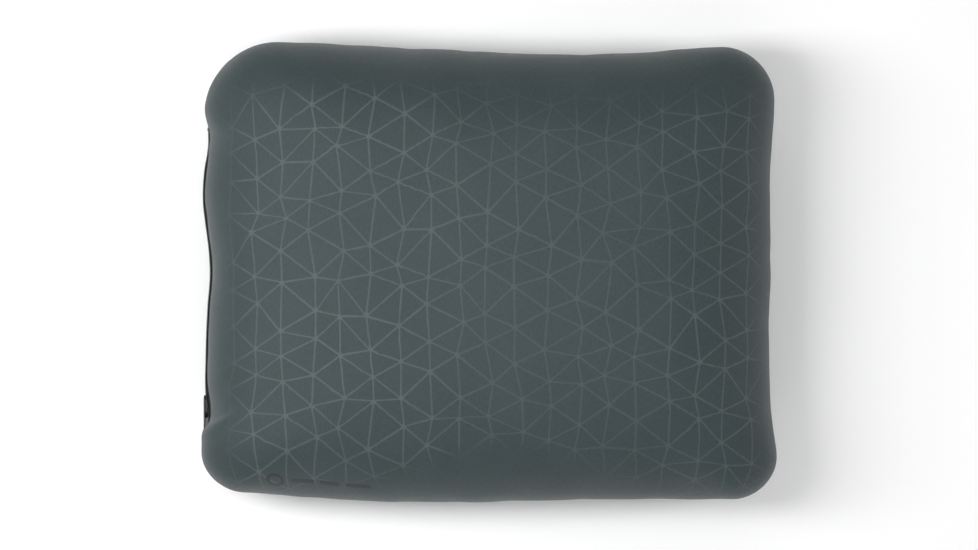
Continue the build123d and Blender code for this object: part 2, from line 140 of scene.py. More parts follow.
def zip_mask(y, x=-1.0):
    """1 along the zip, 0 past its ends."""
    rise = smooth(y, ZIP_LOW_Y - 2 * MM, ZIP_LOW_Y + 5 * MM)
    fall = 1 - smooth(y, ZIP_HIGH_Y - 5 * MM, ZIP_HIGH_Y + 2 * MM)
    return rise * fall * (np.asarray(x) < 0)


# ---- the cover's form ----
def make_outline():
    """The closed outline from above, anticlockwise, and the index of each corner's middle."""
    corners = [("rear_right", 1, 1, 0), ("rear_left", -1, 1, 90),
               ("front_left", -1, -1, 180), ("front_right", 1, -1, 270)]
    points, middles = [], []
    for name, sx, sy, start in corners:
        r = CORNER_RADII[name] * MM
        cx, cy = sx * (HALF_LENGTH - r), sy * (HALF_DEPTH - r)
        for step in range(41):
            if step == 20:
                middles.append(len(points))
            a = math.radians(start + 90 * step / 40)
            points.append((cx + r * math.cos(a), cy + r * math.sin(a)))
    points = np.array(points)
    fine, marks = [], []
    for i in range(len(points)):
        if i in middles:
            marks.append(len(fine))
        a, b = points[i], points[(i + 1) % len(points)]
        n = max(1, int(np.linalg.norm(b - a) / MM))
        fine.extend(a + (b - a) * k / n for k in range(n))
    fine = np.array(fine)
    x, y = fine[:, 0].copy(), fine[:, 1].copy()
    fine[:, 1] -= smooth(y / HALF_DEPTH, 0.2, 0.75) * curve_through(REAR_DRAW, x / MM) * MM
    fine[:, 1] += smooth(-y / HALF_DEPTH, 0.2, 0.75) * curve_through(FRONT_DRAW, x / MM) * MM
    fine[:, 0] -= smooth(x / HALF_LENGTH, 0.2, 0.75) * curve_through(RIGHT_DRAW, y / MM) * MM
    fine[:, 0] += smooth(-x / HALF_LENGTH, 0.2, 0.75) * curve_through(LEFT_DRAW, y / MM) * MM
    return fine, marks


OUTLINE, CORNER_MARKS = make_outline()


def side_run(start, end, count):
    """count + 1 points along the outline between two corner middles, evenly spaced."""
    i, j = CORNER_MARKS[start], CORNER_MARKS[end]
    run = OUTLINE[i:j + 1] if j > i else np.vstack([OUTLINE[i:], OUTLINE[:j + 1]])
    length = np.concatenate([[0], np.cumsum(np.linalg.norm(np.diff(run, axis=0), axis=1))])
    at = np.linspace(0, length[-1], count + 1)
    return np.column_stack([np.interp(at, length, run[:, k]) for k in (0, 1)])


def perimeter_loop(nx, ny):
    """The boundary points of an nx by ny grid, anticlockwise from the rear right corner."""
    sides = [side_run(0, 1, nx), side_run(1, 2, ny), side_run(2, 3, nx), side_run(3, 0, ny)]
    return np.vstack([s[:-1] for s in sides])


def profile_power(theta):
    """Squareness of the crown in each direction: square at the ends, softer at the corners."""
    cx = (np.abs(np.cos(theta)) / HALF_LENGTH) ** 4
    cy = (np.abs(np.sin(theta)) / HALF_DEPTH) ** 4
    end = cx / (cx + cy)
    corner = 4 * end * (1 - end)
    return 5.0 * end + 4.2 * (1 - end) - 0.5 * corner


def level_radius(theta, power=3.4):
    """A soft rounded rectangle, the shape of the crown's own level lines near its middle."""
    x = np.abs(np.cos(theta)) / HALF_LENGTH
    y = np.abs(np.sin(theta)) / HALF_DEPTH
    return (x ** power + y ** power) ** (-1 / power)


def flank_turn(z):
    return math.asin(min(1.0, (WIDEST_Z - z) / WIDEST_Z * math.sin(FLANK_END)))


def crown_profile(point):
    """(distance out, height) from the crown's middle to the upper cloth's hem, in one direction."""
    theta, rho = math.atan2(point[1], point[0]), math.hypot(*point)
    zipped = float(zip_mask(point[1], point[0]))
    hem = SEAM_Z + (ZIP_HEM_UPPER - SEAM_Z) * zipped
    phi = np.linspace(math.pi / 2, 0, 160)
    k = np.cos(phi) ** (2 / profile_power(theta))
    blend = smooth(k, 0.15, 1.0)
    out = k * (level_radius(theta) * (1 - blend) + rho * blend)
    z = WIDEST_Z + (HEIGHT - WIDEST_Z) * np.sin(phi) ** (2 / 2.2)
    turn = np.linspace(0, flank_turn(hem), 20)[1:]
    below = rho - FLANK * (1 - np.cos(turn)) * (1 - zipped) + ZIP_FLARE * zipped * turn / turn[-1]
    below_z = WIDEST_Z * (1 - np.sin(turn) / math.sin(FLANK_END))
    return np.concatenate([out, below]), np.concatenate([z, below_z])


def base_profile(point):
    """(distance out, height) from the underside's middle to the lower cloth's hem, in one direction."""
    rho = math.hypot(*point)
    zipped = float(zip_mask(point[1], point[0]))
    hem = SEAM_Z + (ZIP_HEM_LOWER - SEAM_Z) * zipped
    turn = np.linspace(FLANK_END, flank_turn(hem), 80)
    z = WIDEST_Z * (1 - np.sin(turn) / math.sin(FLANK_END))
    out = rho - FLANK * (1 - np.cos(turn))
    flat = np.linspace(0, out[0], 40)[:-1]
    return np.concatenate([flat, out]), np.concatenate([flat * 0, z])


def cloth_grid(profile, nx, ny):
    """Positions and fabric coordinates of an (nx + 1) by (ny + 1) grid over one shell of the cover."""
    loop = perimeter_loop(nx, ny)
    share = np.linspace(0, 1, TABLE + 1)
    radius, height, length = [], [], []
    for point in loop:
        out, z = profile(point)
        run = np.concatenate([[0], np.cumsum(np.hypot(np.diff(out), np.diff(z)))])
        length.append(run[-1])
        radius.append(np.interp(share * run[-1], run, out))
        height.append(np.interp(share * run[-1], run, z))
    radius, height, length = np.array(radius), np.array(height), np.array(length)
    angle = np.unwrap(np.arctan2(loop[:, 1], loop[:, 0]))
    total = len(loop)

    a, b = np.meshgrid(np.linspace(-1, 1, nx + 1), np.linspace(-1, 1, ny + 1), indexing="ij")
    q = np.maximum(np.abs(a), np.abs(b))
    safe = np.maximum(q, 1e-9)
    a1, b1 = a / safe, b / safe
    rear = nx * (1 - a1) / 2
    left = nx + ny * (1 - b1) / 2
    front = nx + ny + nx * (1 + a1) / 2
    right = 2 * nx + ny + ny * (1 + b1) / 2
    on_rear = (b1 >= 1 - 1e-9)
    on_left = (a1 <= -1 + 1e-9) & ~on_rear
    on_front = (b1 <= -1 + 1e-9) & ~on_rear & ~on_left
    along = np.where(on_rear, rear, np.where(on_left, left, np.where(on_front, front, right))) % total

    rings = nx / 2
    hem = HEM_ROWS / rings
    low = np.floor(along).astype(int) % total
    high = (low + 1) % total
    part = along - np.floor(along)
    span = length[low] * (1 - part) + length[high] * part
    hem_share = HEM_ROWS * HEM_ROW / span
    s = np.where(q < 1 - hem, q / (1 - hem) * (1 - hem_share), 1 - (1 - q) / hem * hem_share)
    at = s * TABLE
    m = np.clip(np.floor(at).astype(int), 0, TABLE - 1)
    f = at - m

    def look(table):
        first = table[low, m] * (1 - f) + table[low, m + 1] * f
        second = table[high, m] * (1 - f) + table[high, m + 1] * f
        return first * (1 - part) + second * part

    turn = (angle[high] - angle[low] + math.pi) % (2 * math.pi) - math.pi
    theta = angle[low] + turn * part
    r = look(radius)
    pos = np.stack([r * np.cos(theta), r * np.sin(theta), look(height)], -1)
    fabric = np.stack([s * span * np.cos(theta), s * span * np.sin(theta)], -1)
    return pos, fabric, q


# ---- soft rises and dents in the crown, listed (mm) ----
RIDGE = [(-175, 20), (-115, 60), (-71, 30), (-42, 15), (53, 4), (90, 0), (133, -29), (170, -60)]


def crown_relief(x, y):
    """A slightly higher right half, a left half that slopes gently away, and a few soft dents."""
    x, y = x / MM, y / MM
    ridge = curve_through(RIDGE, y)
    left_of = ridge - x
    slope = math.tan(math.radians(5.5))
    fall = slope * 9 * np.log1p(np.exp(np.clip(left_of / 9, -30, 30)))
    rise = 4.6 - 6.4 * (1 - np.exp(-fall / 6.4))
    inner = (1 - smooth(np.abs(x), 120, 198)) * (1 - smooth(np.abs(y), 95, 158))
    dents = [(14, 104, 14, 24, -1.2), (48, 118, 9, 22, 0.9), (24, -72, 30, 16, 0.5), (-64, -112, 30, 16, -0.8),
             (-20, 70, 18, 30, 0.5), (96, 40, 50, 40, -0.5), (120, -60, 40, 40, 0.4), (-110, 60, 40, 50, 0.4)]
    soft = sum(h * np.exp(-((x - cx) / w) ** 2 - ((y - cy) / d) ** 2) for cx, cy, w, d, h in dents)
    return (rise + soft) * inner * MM


def outward(pos):
    """Unit normals of a grid, pointing out of the pillow."""
    normal = np.cross(np.gradient(pos, axis=0), np.gradient(pos, axis=1))
    normal /= np.maximum(np.linalg.norm(normal, axis=-1, keepdims=True), 1e-12)
    return normal * np.sign((normal * (pos - [0, 0, WIDEST_Z])).sum(-1, keepdims=True))


def roll_hem(pos, q, nx):
    """Turns the last rows of the cloth inwards, so that the edge reads as a folded hem."""
    rows = (1 - q) * nx / 2
    tuck = np.clip(1 - rows / 2.2, 0, 1) ** 2 * 1.3 * MM
    return pos - outward(pos) * tuck[..., None]


def grid_mesh(name, pos, flip=False):
    nx, ny = pos.shape[0] - 1, pos.shape[1] - 1
    index = np.arange((nx + 1) * (ny + 1)).reshape(nx + 1, ny + 1)
    quads = np.stack([index[:-1, :-1], index[1:, :-1], index[1:, 1:], index[:-1, 1:]], -1).reshape(-1, 4)
    if flip:
        quads = quads[:, ::-1]
    mesh = bpy.data.meshes.new(name)
    mesh.from_pydata(pos.reshape(-1, 3).tolist(), [], quads.tolist())
    mesh.polygons.foreach_set("use_smooth", [True] * len(mesh.polygons))
    return link_mesh(name, mesh)


def link_mesh(name, mesh):
    obj = bpy.data.objects.new(name, mesh)
    bpy.context.scene.collection.objects.link(obj)
    return obj


def add_modifier(obj, kind, **settings):
    modifier = obj.modifiers.new(kind.lower(), kind)
    for key, value in settings.items():
        setattr(modifier, key, value)
    return modifier


def add_attribute(obj, name, values, kind="FLOAT"):
    attribute = obj.data.attributes.new(name, kind, "POINT")
    field = "vector" if kind == "FLOAT_VECTOR" else "value"
    attribute.data.foreach_set(field, np.ascontiguousarray(values, np.float32).ravel())


# ---- the print: an irregular net of triangles with small knots ----
NET = 24.5                    # mm between knots
NET_JITTER = (0.15, 0.31)     # share of that by which knots stray along and across the pillow


def net_coordinates(u, v):
    """Where each fabric point falls in a regular triangular lattice, with the net's irregularity undone."""
    random = np.random.RandomState(19)
    size = 96
    shift = random.uniform(-1, 1, (size, size, 2)) * NET_JITTER * NET
    column = NET * math.sqrt(3) / 2

    def lattice(px, py):
        i = px / column
        return i, py / NET - i / 2

    def bent(px, py):
        i, j = lattice(px, py)
        i0, j0 = np.floor(i).astype(int), np.floor(j).astype(int)
        fi, fj = i - i0, j - j0
        lower = (fi + fj) <= 1
        corner = shift[(i0 + (~lower)) % size, (j0 + (~lower)) % size]
        side_i = shift[(i0 + 1) % size, j0 % size]
        side_j = shift[i0 % size, (j0 + 1) % size]
        wi = np.where(lower, fi, 1 - fj)[..., None]
        wj = np.where(lower, fj, 1 - fi)[..., None]
        return corner * (1 - wi - wj) + side_i * wi + side_j * wj

    px, py = u.copy(), v.copy()
    for _ in range(60):
        moved = bent(px, py)
        px, py = px * 0.3 + (u - moved[..., 0]) * 0.7, py * 0.3 + (v - moved[..., 1]) * 0.7
    return lattice(px, py)


def print_strength(x, y):
    """How strongly the net shows: it fades out before the edges, and is a little fainter to the right."""
    x, y = x / MM, y / MM
    sides = smooth(x, -196, -172) * (1 - smooth(x, 186, 202))
    rear = 1 - smooth(y, 112 - 14 * np.sin(x / 60), 143)
    front_edge = -160 + 34 * np.exp(-((x - 10) / 75) ** 2)
    front = smooth(y, front_edge - 6, front_edge + 14)
    patch = 0.86 + 0.14 * np.sin(x / 37 + 1.3) * np.sin(y / 29 + 0.4)
    return sides * rear * front * patch * (1 - 0.42 * smooth(x, -70, 20) * (1 - 0.7 * smooth(x, 110, 150)))


# ---- materials ----
class Shader:
    """A short way to write a node material."""

    def __init__(self, name):
        self.material = bpy.data.materials.new(name)
        self.material.use_nodes = True
        self.nodes = self.material.node_tree.nodes
        self.links = self.material.node_tree.links
        self.surface = self.nodes["Principled BSDF"]

    def put(self, socket, value):
        if hasattr(value, "is_linked"):
            self.links.new(value, socket)
        elif isinstance(value, (tuple, list)) and len(value) == 3 and socket.type == "RGBA":
            socket.default_value = (*value, 1)
        else:
            socket.default_value = value

    def node(self, kind, inputs=None, out=0, **settings):
        n = self.nodes.new("ShaderNode" + kind)
        for key, value in settings.items():
            setattr(n, key, value)
        for key, value in (inputs or {}).items():
            self.put(n.inputs[key], value)
        return n.outputs[out]

    def math(self, operation, a, b=0.0, c=0.0):
        return self.node("Math", {0: a, 1: b, 2: c}, operation=operation)

    def attribute(self, name, out="Fac"):
        return self.node("Attribute", out=out, attribute_name=name)

    def ramp(self, value, low, high, to_low=0.0, to_high=1.0):
        inputs = {0: value, 1: low, 2: high, 3: to_low, 4: to_high}
        return self.node("MapRange", inputs, interpolation_type="SMOOTHSTEP")

    def mix(self, factor, a, b):
        n = self.nodes.new("ShaderNodeMix")
        n.data_type = "RGBA"
        self.put(n.inputs[0], factor)
        self.put(n.inputs[6], a)
        self.put(n.inputs[7], b)
        return n.outputs[2]

    def noise(self, vector, scale, detail=2.0, roughness=0.5):
        inputs = {"Vector": vector, "Scale": scale, "Detail": detail, "Roughness": roughness}
        return self.node("TexNoise", inputs)

    def scaled(self, vector, factors):
        return self.node("VectorMath", {0: vector, 1: factors}, operation="MULTIPLY")

    def set(self, **inputs):
        for key, value in inputs.items():
            self.put(self.surface.inputs[key.replace("_", " ")], value)

    def bump(self, height, distance, strength=1.0):
        inputs = {"Strength": strength, "Distance": distance, "Height": height}
        self.put(self.surface.inputs["Normal"], self.node("Bump", inputs))


KNIT_DARK = (0.0180, 0.0345, 0.0370)
KNIT_LIGHT = (0.0305, 0.0510, 0.0540)
PRINT_LIFT = (0.0730, 0.0970, 0.0980)
MARK_START = (-154, -151.5)   # the ring's middle in plan, in mm
MARK_TOWARDS = (-90, -156)    # the way the bars run
LOOP_WIDTH = 0.95 * MM        # one knitted loop
LOOP_HEIGHT = 0.75 * MM
MARK_DARK = (0.0095, 0.0160, 0.0180)


def rounded_bar(s, x, y, middle, half_long, half_wide):
    """1 inside a bar with round ends lying along x, 0 outside, with a slightly soft edge."""
    along = s.math("ABSOLUTE", s.math("SUBTRACT", x, middle))
    over = s.math("MAXIMUM", s.math("SUBTRACT", along, half_long - half_wide), 0.0)
    distance = s.math("SQRT", s.math("ADD", s.math("MULTIPLY", over, over), s.math("MULTIPLY", y, y)))
    return s.ramp(distance, half_wide - 0.15 * MM, half_wide + 0.2 * MM, 1.0, 0.0)


def plain_mark(s, cloth, anchor, lean):
    """A ring and three bars in a row, where a maker would print their own mark."""
    place = s.node("VectorMath", {0: cloth, 1: (-anchor[0], -anchor[1], 0)}, operation="ADD")
    place = s.node("VectorRotate", {"Vector": place, "Angle": -lean}, rotation_type="Z_AXIS")
    x = s.node("SeparateXYZ", {0: place}, out=0)
    y = s.node("SeparateXYZ", {0: place}, out=1)
    radius = s.math("SQRT", s.math("ADD", s.math("MULTIPLY", x, x), s.math("MULTIPLY", y, y)))
    band = s.math("ABSOLUTE", s.math("SUBTRACT", radius, 5.2 * MM))
    shapes = [s.ramp(band, 1.1 * MM, 1.5 * MM, 1.0, 0.0)]
    for middle, half_long in ((20, 8.5), (40, 7.5), (61, 9.5)):
        shapes.append(rounded_bar(s, x, y, middle * MM, half_long * MM, 2.1 * MM))
    total = shapes[0]
    for shape in shapes[1:]:
        total = s.math("MAXIMUM", total, shape)
    return total


def knit_material(printed, anchor=(0, 0), lean=0.0):
    s = Shader("cover_knit_printed" if printed else "cover_knit_plain")
    cloth = s.attribute("fabric", "Vector")
    heather = s.noise(s.scaled(cloth, (1.0, 0.4, 1.0)), 760, 3, 0.7)
    patches = s.noise(cloth, 22, 3, 0.55)
    cloth_u, cloth_v = (s.node("SeparateXYZ", {0: cloth}, out=k) for k in (0, 1))
    loops_u = s.math("SINE", s.math("MULTIPLY", cloth_u, 2 * math.pi / LOOP_WIDTH))
    loops_v = s.math("SINE", s.math("MULTIPLY", cloth_v, 2 * math.pi / LOOP_HEIGHT))
    loops = s.math("MULTIPLY", loops_u, loops_v)
    tone = s.math("ADD", s.ramp(heather, 0.3, 0.7, 0.0, 0.72), s.ramp(patches, 0.3, 0.7, 0.0, 0.28))
    color = s.mix(tone, KNIT_DARK, KNIT_LIGHT)
    if printed:
        net = s.attribute("net", "Vector")
        i = s.node("SeparateXYZ", {0: net}, out=0)
        j = s.node("SeparateXYZ", {0: net}, out=1)
        lines = [s.math("PINGPONG", value, 0.5) for value in (i, j, s.math("ADD", i, j))]
        nearest = s.math("MINIMUM", s.math("MINIMUM", lines[0], lines[1]), lines[2])
        wobble = s.math("MULTIPLY", s.math("SUBTRACT", s.noise(cloth, 260, 2), 0.5), 0.03)
        line = s.ramp(s.math("ADD", nearest, wobble), 0.016, 0.044, 1.0, 0.0)
        knot_distance = s.math("ADD", s.math("ADD", lines[0], lines[1]), lines[2])
        knot = s.ramp(knot_distance, 0.09, 0.22, 0.6, 0.0)
        drawn = s.math("MINIMUM", s.math("ADD", s.math("MULTIPLY", line, 0.85), knot), 1.0)
        drawn = s.math("MULTIPLY", drawn, s.attribute("print"))
        worn = s.ramp(s.noise(cloth, 75, 3, 0.6), 0.25, 0.6, 0.72, 1.0)
        color = s.mix(s.math("MULTIPLY", drawn, worn), color, PRINT_LIFT)
        color = s.mix(s.math("MULTIPLY", plain_mark(s, cloth, anchor, lean), 0.95), color, MARK_DARK)
    s.set(Base_Color=color, Roughness=0.5, Sheen_Weight=0.01, Sheen_Roughness=0.5, Specular_IOR_Level=0.5)
    relief = s.math("ADD", s.math("MULTIPLY", loops, 0.5), s.math("MULTIPLY", heather, 1.4))
    s.bump(relief, 0.00016, 0.7)
    return s.material


def woven_material(name, color, pitch=0.0006, rough=0.75, sheen=0.1):
    s = Shader(name)
    place = s.node("TexCoord", out=3)
    grain = s.noise(s.scaled(place, (1.0, 1.0, 1.0)), 1 / pitch, 2)
    weft = {"Vector": place, "Scale": 0.16 / pitch, "Distortion": 0.4}
    wave = s.node("TexWave", weft, out=1, bands_direction="Y")
    dark, light = tuple(c * 0.7 for c in color), tuple(c * 1.3 for c in color)
    s.set(Base_Color=s.mix(grain, dark, light), Roughness=rough,
          Sheen_Weight=sheen)
    s.bump(s.math("ADD", wave, grain), 0.0001, 0.6)
    return s.material


def plastic_material(name, color, rough=0.4, grain=0.00003):
    s = Shader(name)
    place = s.node("TexCoord", out=3)
    scuff = s.noise(place, 240, 4, 0.6)
    s.set(Base_Color=s.mix(scuff, tuple(c * 0.9 for c in color), tuple(c * 1.1 for c in color)),
          Roughness=s.ramp(scuff, 0.3, 0.7, rough * 0.85, rough * 1.15))
    s.bump(s.noise(place, 2600, 2), grain, 0.5)
    return s.material


def metal_material(name, color, rough=0.35):
    s = Shader(name)
    place = s.node("TexCoord", out=3)
    scuff = s.noise(place, 500, 4, 0.6)
    s.set(Base_Color=s.mix(scuff, tuple(c * 0.8 for c in color), color), Metallic=0.85,
          Roughness=s.ramp(scuff, 0.3, 0.7, rough * 0.8, rough * 1.3))
    return s.material


def film_material():
    s = Shader("bladder_film")
    place = s.node("TexCoord", out=3)
    s.set(Base_Color=s.mix(s.noise(place, 60, 3), (0.52, 0.55, 0.56), (0.62, 0.65, 0.66)), Roughness=0.32,
          Coat_Weight=0.2)
    s.bump(s.noise(place, 900, 2), 0.00005, 0.4)
    return s.material


def foam_material():
    s = Shader("core_foam")
    place = s.node("TexCoord", out=3)
    cells = s.node("TexVoronoi", {"Vector": place, "Scale": 900.0})
    color = s.mix(cells, (0.42, 0.30, 0.12), (0.62, 0.50, 0.26))
    s.set(Base_Color=color, Roughness=0.95, Subsurface_Weight=0.05)
    s.bump(cells, 0.0004, 0.8)
    return s.material


KNIT_PLAIN = knit_material(False)
TAPE_BLACK = woven_material("zip_tape_weave", (0.012, 0.013, 0.014))
COIL_BLACK = plastic_material("zip_coil_nylon", (0.010, 0.011, 0.012), 0.35)
THREAD_DARK = woven_material("stitch_thread", (0.020, 0.026, 0.028), 0.0003)
BINDING = woven_material("binding_weave", (0.030, 0.038, 0.040), 0.0007)
LABEL = woven_material("label_satin", (0.55, 0.56, 0.56), 0.0004, 0.45, 0.3)
ZIP_METAL = metal_material("zip_metal", (0.040, 0.042, 0.045))
SHELL_TPU = plastic_material("valve_shell", (0.060, 0.064, 0.066), 0.45)
INNER_TPU = plastic_material("valve_inner", (0.100, 0.106, 0.108), 0.4)
SILICONE = plastic_material("valve_silicone", (0.30, 0.31, 0.31), 0.5)
SPRING = metal_material("spring_steel", (0.62, 0.62, 0.60), 0.22)

MATERIAL_OF_NODE = {
    "valve_port_binding": BINDING, "care_label": LABEL,
    "bladder_top": film_material(), "foam_core": foam_material(),
    "zip_tape_upper": TAPE_BLACK, "zip_tape_lower": TAPE_BLACK,
    "zip_coil_upper": COIL_BLACK, "zip_coil_lower": COIL_BLACK,
    "zip_slider": ZIP_METAL, "zip_pull_tab": ZIP_METAL,
    "zip_top_stops": ZIP_METAL, "zip_bottom_stop": ZIP_METAL,
    "valve_base": SHELL_TPU, "lid_leash": SHELL_TPU,
    "valve_inner_lid": INNER_TPU, "inner_lid_gasket": SILICONE,
    "valve_stem": INNER_TPU, "valve_diaphragm": SILICONE, "valve_spring": SPRING,
    "valve_outer_lid": SHELL_TPU, "outer_lid_strap": SHELL_TPU,
}
MATERIAL_OF_NODE["bladder_bottom"] = MATERIAL_OF_NODE["bladder_top"]
# bevel widths of the hard parts, in mm
ROUNDED = {
    "zip_slider": 0.16, "zip_pull_tab": 0.22, "valve_base": 0.2, "valve_inner_lid": 0.18,
    "valve_outer_lid": 0.15, "valve_stem": 0.1, "valve_diaphragm": 0.08, "inner_lid_gasket": 0.12,
}
for name, material in MATERIAL_OF_NODE.items():
    nodes[name].data.materials.clear()
    nodes[name].data.materials.append(material)
    if name in ROUNDED:
        add_modifier(nodes[name], "WELD", merge_threshold=0.002 * MM)
        add_modifier(nodes[name], "BEVEL", width=ROUNDED[name] * MM, segments=2,
                     limit_method="ANGLE", angle_limit=math.radians(40))


# ---- the cover ----
def rest_on(pos, node, gap, blend=1.2 * MM):
    """Lifts crown points that would sink into what is inside the cover, softly."""
    tree = BVHTree.FromObject(nodes[node], bpy.context.evaluated_depsgraph_get())
    flat = pos.reshape(-1, 3)
    for k in range(len(flat)):
        hit = tree.ray_cast(Vector((flat[k, 0], flat[k, 1], 0.3)), Vector((0, 0, -1)))[0]
        if hit is not None and flat[k, 2] > WIDEST_Z:
            over = (hit.z + gap - flat[k, 2]) / blend
            if over > -6:
                flat[k, 2] += blend * math.log1p(math.exp(min(over, 40)))
    return flat.reshape(pos.shape)


def meet_port(pos):
    """Brings the lower cloth onto the CAD cover's surface round the valve port."""
    tree = BVHTree.FromObject(nodes["cover_bottom"], bpy.context.evaluated_depsgraph_get())
    flat = pos.reshape(-1, 3)
    out = Vector(VALVE_OUT)
    offset = flat - VALVE_SEAT
    across = offset - np.outer(offset @ VALVE_OUT, VALVE_OUT)
    distance = np.linalg.norm(across, axis=1)
    for k in np.nonzero((distance < 64 * MM) & (offset @ VALVE_OUT > -24 * MM))[0]:
        hit = tree.ray_cast(Vector(flat[k]) + out * 0.03, -out)[0]
        if hit is None or distance[k] < PORT_RADIUS + 0.2 * MM:
            continue
        near = 1 - float(smooth(distance[k], PORT_RADIUS + 6 * MM, 45 * MM))
        low = 1 - float(smooth(flat[k, 2], 34 * MM, 42 * MM))
        under_lid = (1 - float(smooth(distance[k], 46 * MM, 64 * MM))) * low
        weight = max(near, under_lid)
        sunk = 0.35 * MM * (1 - float(smooth(distance[k], 22.5 * MM, 26 * MM)))
        flat[k] += (np.array(hit) - VALVE_OUT * sunk - flat[k]) * weight
    return flat.reshape(pos.shape)


def settle(top, base):
    """Lets the closed cover fill and crease as cloth, and returns how far each shell's fabric moved."""
    top, base = top[::COARSE, ::COARSE], base[::COARSE, ::COARSE]
    nx, ny = top.shape[0] - 1, top.shape[1] - 1
    count = (nx + 1) * (ny + 1)
    index = np.arange(count).reshape(nx + 1, ny + 1)
    quads = np.stack([index[:-1, :-1], index[1:, :-1], index[1:, 1:], index[:-1, 1:]], -1).reshape(-1, 4)
    border = np.concatenate([index[:-1, 0], index[-1, :-1], index[:0:-1, -1], index[0, :0:-1]])
    after = np.roll(border, -1)
    wall = np.stack([after, border, border + count, after + count], -1)
    faces = np.vstack([quads, quads[:, ::-1] + count, wall])
    random = np.random.RandomState(5)
    points = np.vstack([top.reshape(-1, 3), base.reshape(-1, 3)])
    mesh = bpy.data.meshes.new("settling_cover")
    mesh.from_pydata((points + random.uniform(-1, 1, points.shape) * 0.12 * MM).tolist(), [], faces.tolist())
    cloth = link_mesh("settling_cover", mesh)
    held = cloth.vertex_groups.new(name="held")
    held.add([int(i) for i in border] + [int(i) + count for i in border], 1.0, "REPLACE")
    offset = points[count:] - VALVE_SEAT
    port = np.linalg.norm(offset - np.outer(offset @ VALVE_OUT, VALVE_OUT), axis=1) < 28 * MM
    held.add([int(i) + count for i in np.nonzero(port)[0]], 1.0, "REPLACE")
    under = (points[count:, 2] < 2 * MM) & ~port
    held.add([int(i) + count for i in np.nonzero(under)[0]], 0.6, "REPLACE")
    modifier = add_modifier(cloth, "CLOTH")
    settings = modifier.settings
    settings.quality = 6
    settings.mass = 0.12
    settings.tension_stiffness = settings.compression_stiffness = 22
    settings.shear_stiffness = 9
    settings.bending_stiffness = 0.35
    settings.use_pressure = True
    settings.uniform_pressure_force = 4
    settings.shrink_min = -0.035
    settings.effector_weights.gravity = 0
    settings.vertex_group_mass = "held"
    modifier.collision_settings.use_collision = False
    modifier.point_cache.frame_start, modifier.point_cache.frame_end = 1, 20
    for number in range(1, 21):
        bpy.context.scene.frame_set(number)
    evaluated = cloth.evaluated_get(bpy.context.evaluated_depsgraph_get())
    after = np.empty(count * 6, np.float32)
    evaluated.data.vertices.foreach_get("co", after)
    moved = after.reshape(-1, 3) - points
    bpy.context.scene.frame_set(1)
    bpy.data.objects.remove(cloth)
    return [creases(m.reshape(nx + 1, ny + 1, 3)) for m in (moved[:count], moved[count:])]


def blur(field, times):
    for _ in range(times):
        for axis in (0, 1):
            edge = np.concatenate([field.take([0], axis), field, field.take([-1], axis)], axis)
            low = edge.take(range(0, field.shape[axis]), axis)
            high = edge.take(range(2, field.shape[axis] + 2), axis)
            field = field * 0.5 + (low + high) * 0.25
    return field


def creases(moved):
    """The folds in a settled shell without its overall swelling, on the fine grid and capped."""
    folds = blur(moved, 1) - blur(moved, 60)
    size = np.linalg.norm(folds, axis=-1, keepdims=True)
    folds *= np.minimum(1, CREASE_LIMIT / np.maximum(size, 1e-9)) * CREASE_SHARE
    for axis in (0, 1):
        fine = np.repeat(folds, 2, axis=axis)
        fine = fine.take(range(fine.shape[axis] - 1), axis)
        last = folds.shape[axis] - 1
        halves = (folds.take(range(last), axis) + folds.take(range(1, last + 1), axis)) / 2
        if axis == 0:
            fine[1::2] = halves
        else:
            fine[:, 1::2] = halves
        folds = fine
    return folds


def nearest_fabric(pos, fabric, plan):
    """The fabric coordinates under a point given from above, in mm."""
    gap = np.hypot(pos[..., 0] - plan[0] * MM, pos[..., 1] - plan[1] * MM)
    gap = gap + np.where(pos[..., 2] < WIDEST_Z, 1.0, 0.0)
    return fabric.reshape(-1, 2)[int(np.argmin(gap))]


